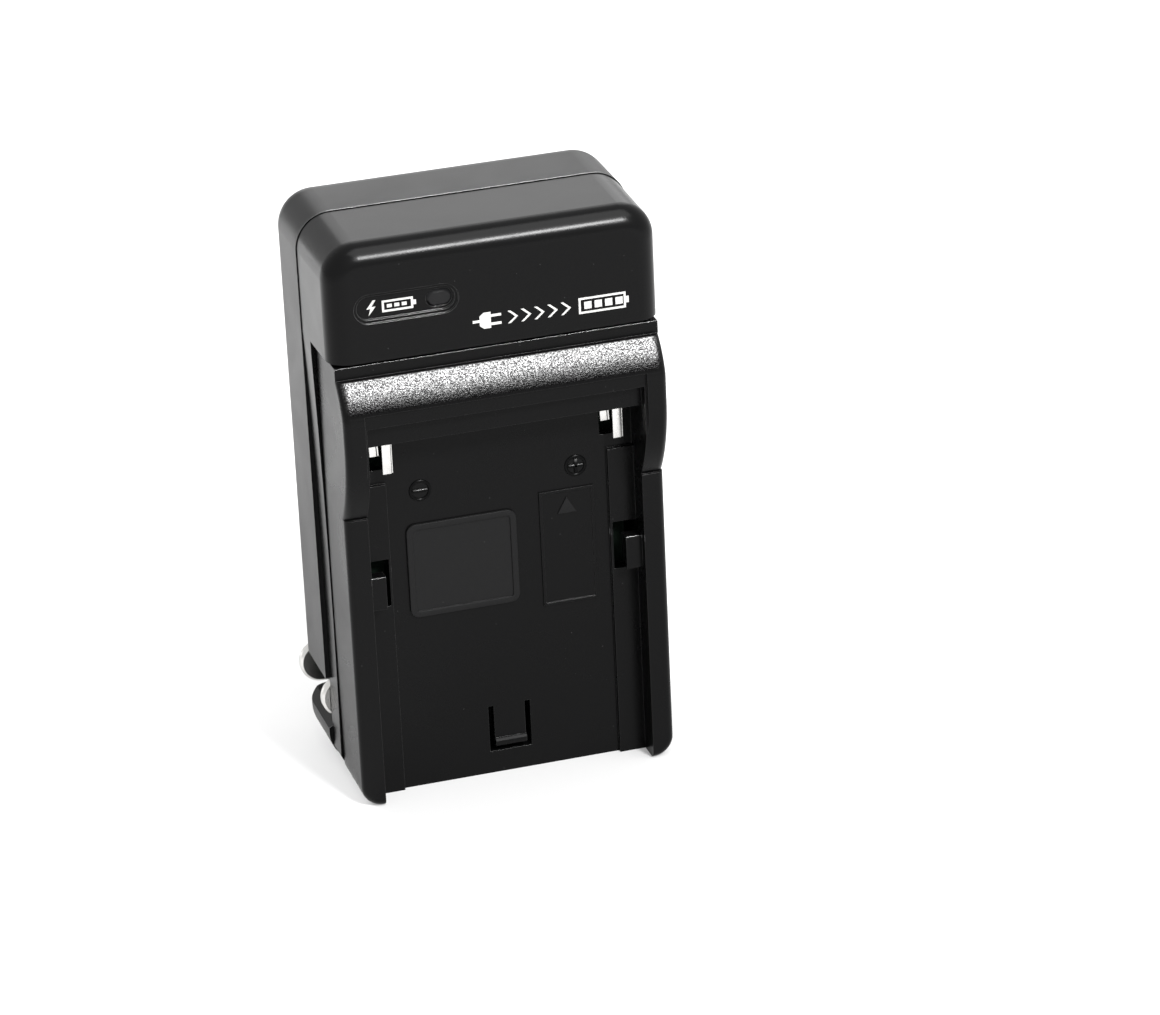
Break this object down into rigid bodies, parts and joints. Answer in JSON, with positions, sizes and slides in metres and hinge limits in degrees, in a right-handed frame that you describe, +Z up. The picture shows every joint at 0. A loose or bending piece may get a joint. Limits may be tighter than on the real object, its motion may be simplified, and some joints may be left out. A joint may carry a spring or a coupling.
{
  "type": "battery charger",
  "caption": "Compact travel charger for a camera battery: slide-in battery bay with sprung contacts, a lamp recess in the head and a mains plug that swings out of the back.",
  "frame": {"origin": "middle of the flat base the charger stands on", "axes": "+Z up along the housing, -Y towards the battery side, +X to the right when looking at the battery side"},
  "size_m": [0.0486, 0.0333, 0.0845],
  "materials": {
    "rear_plastic": "fine matt spark-eroded texture, black",
    "front_plastic": "smooth satin black",
    "plate_plastic": "satin black with a grained brow",
    "contact_nickel": "bright nickel plating",
    "lamp_lens": "smoked clear plastic, unlit",
    "plug_plastic": "satin black",
    "blade_nickel": "nickel-plated brass",
    "spring_metal": "bare phosphor bronze",
    "board_laminate": "paper laminate",
    "ferrite": "sintered ferrite",
    "winding_tape": "yellow tape",
    "can_sleeve": "shrink sleeve",
    "disc_lacquer": "blue lacquer",
    "diode_epoxy": "moulded epoxy",
    "resistor_lacquer": "grey lacquer",
    "screw_steel": "zinc-plated steel"
  },
  "bodies": {
    "housing": {"rear_shell": "rear_plastic", "front_shell": "front_plastic", "battery_plate": "plate_plastic", "contact_negative": "contact_nickel", "contact_positive": "contact_nickel", "charge_led": "lamp_lens", "plug_spring_left": "spring_metal", "plug_spring_right": "spring_metal", "circuit_board": "board_laminate", "transformer_core": "ferrite", "transformer_winding": "winding_tape", "input_capacitor": "can_sleeve", "output_capacitor": "can_sleeve", "suppression_capacitor": "disc_lacquer", "rectifier_diodes": "diode_epoxy", "fuse_resistor": "resistor_lacquer", "power_transistor": "diode_epoxy", "control_chip": "diode_epoxy", "housing_screws": "screw_steel"},
    "plug": {"plug_rotor": "plug_plastic", "plug_blade_outer": "blade_nickel", "plug_blade_inner": "blade_nickel"}
  },
  "joints": [
    {"name": "plug_swivel", "type": "hinge", "parent": "housing", "child": "plug", "pos_m": [0, 0.00835, 0.01035], "axis": [0, 0, -1], "range_deg": [0, 90]}
  ]
}
